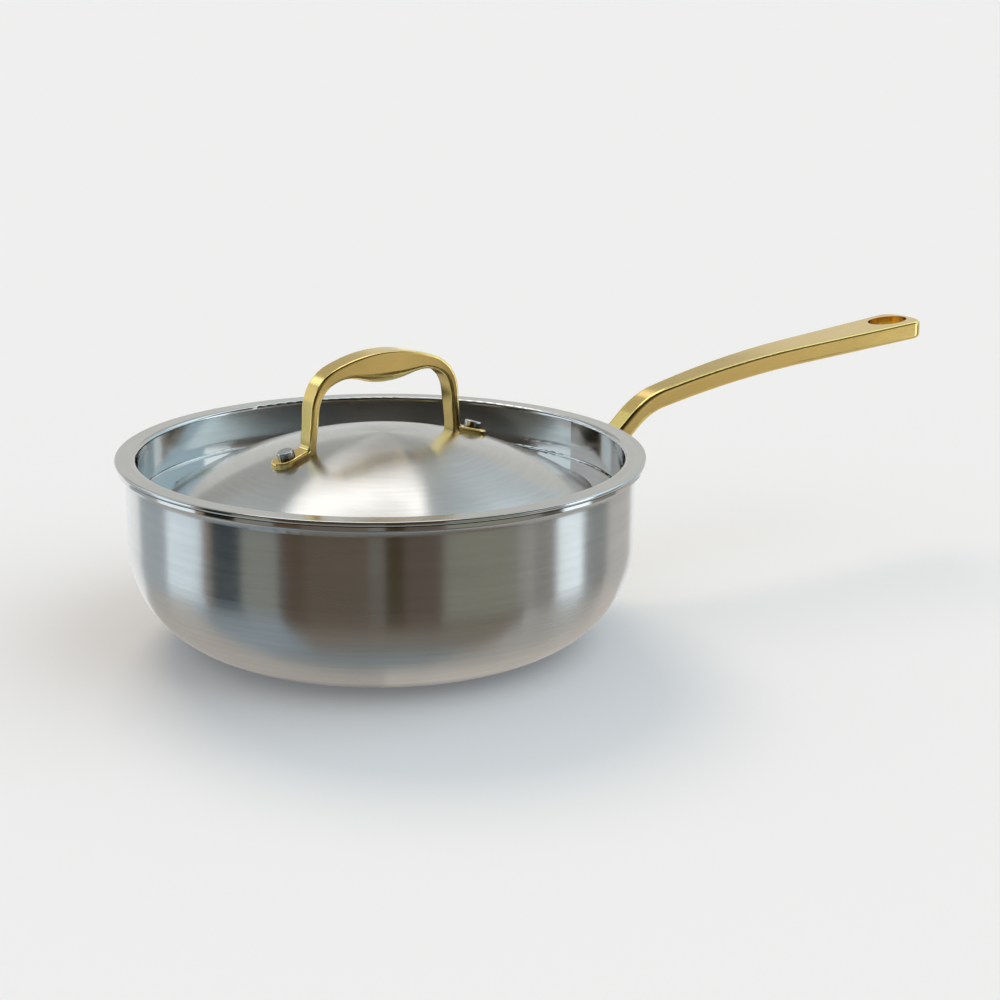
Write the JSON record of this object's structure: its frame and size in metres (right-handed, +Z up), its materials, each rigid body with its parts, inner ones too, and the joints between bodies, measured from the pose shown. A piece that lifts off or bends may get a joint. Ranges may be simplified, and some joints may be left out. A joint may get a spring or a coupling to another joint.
{
  "type": "saucier pan",
  "caption": "Round-bottomed clad saucier pan with a riveted long handle and a recessed domed lid that lifts off by its arched strap handle.",
  "frame": {"origin": "centre of the pan's flat base, on the surface it stands on", "axes": "+Z up along the pan's axis, +X along the long handle, which leaves the wall on the +X side"},
  "size_m": [0.4692, 0.24, 0.132],
  "materials": {
    "pan_steel": "brushed along the wall's rounds",
    "handle_brass": "satin, with polished edges",
    "rivet_steel": "polished",
    "lid_steel": "brushed in rounds, with a polished recess",
    "lid_handle_brass": "satin, with polished edges",
    "lid_rivet_steel": "polished"
  },
  "bodies": {
    "pan": {"pan_body": "pan_steel", "long_handle": "handle_brass", "handle_rivet_left": "rivet_steel", "handle_rivet_right": "rivet_steel", "handle_rivet_lower": "rivet_steel"},
    "lid": {"lid_shell": "lid_steel", "lid_handle": "lid_handle_brass", "lid_rivet_near": "lid_rivet_steel", "lid_rivet_far": "lid_rivet_steel"}
  },
  "joints": [
    {"name": "lid_lift", "type": "slide", "parent": "pan", "child": "lid", "axis": [0, 0, 1], "range_m": [0, 0.08]}
  ]
}
